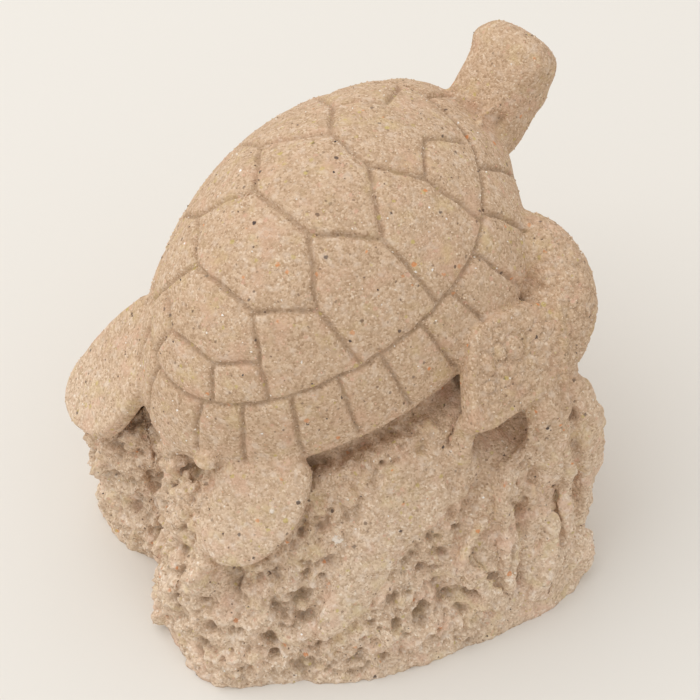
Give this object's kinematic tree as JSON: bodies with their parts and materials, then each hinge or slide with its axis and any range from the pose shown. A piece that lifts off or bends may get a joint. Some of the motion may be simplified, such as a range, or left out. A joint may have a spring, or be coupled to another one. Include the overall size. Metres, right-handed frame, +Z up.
{
  "type": "sand turtle sculpture",
  "caption": "Small cast-sand ornament of a sea turtle, head raised, swimming over a pitted block of reef rock.",
  "frame": {"origin": "middle of the bounding box's underside, on the surface the block stands on", "axes": "+Z up; the turtle swims towards -Y, so +Y is towards its tail; +X is the turtle's left side"},
  "size_m": [0.0732, 0.0822, 0.0648],
  "materials": {
    "sand": "raw bonded quartz sand, dry and matt, with a fine open grain; nothing is painted or sealed"
  },
  "bodies": {
    "root": {"sand_turtle_sculpture": "sand"}
  },
  "joints": []
}
